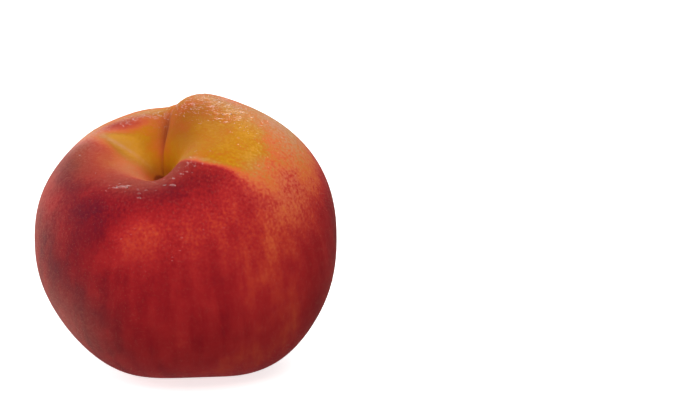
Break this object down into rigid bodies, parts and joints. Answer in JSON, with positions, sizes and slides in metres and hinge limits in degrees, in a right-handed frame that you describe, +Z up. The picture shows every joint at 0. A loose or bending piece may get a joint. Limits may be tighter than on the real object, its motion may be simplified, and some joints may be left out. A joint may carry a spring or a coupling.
{
  "type": "peach",
  "caption": "Whole ripe peach with a red and yellow downy skin, a deep stem pit and a suture, resting on a small flat spot.",
  "frame": {"origin": "on the ground under the middle of the fruit's width and depth", "axes": "+Z up from the flat spot it rests on, -Y towards the front, where the stem pit leans, +X towards the fruit's right"},
  "size_m": [0.0758, 0.0732, 0.0691],
  "materials": {
    "peach_skin": "downy fruit skin, red blush over yellow, matt with a soft sheen"
  },
  "bodies": {
    "root": {"peach": "peach_skin"}
  },
  "joints": []
}
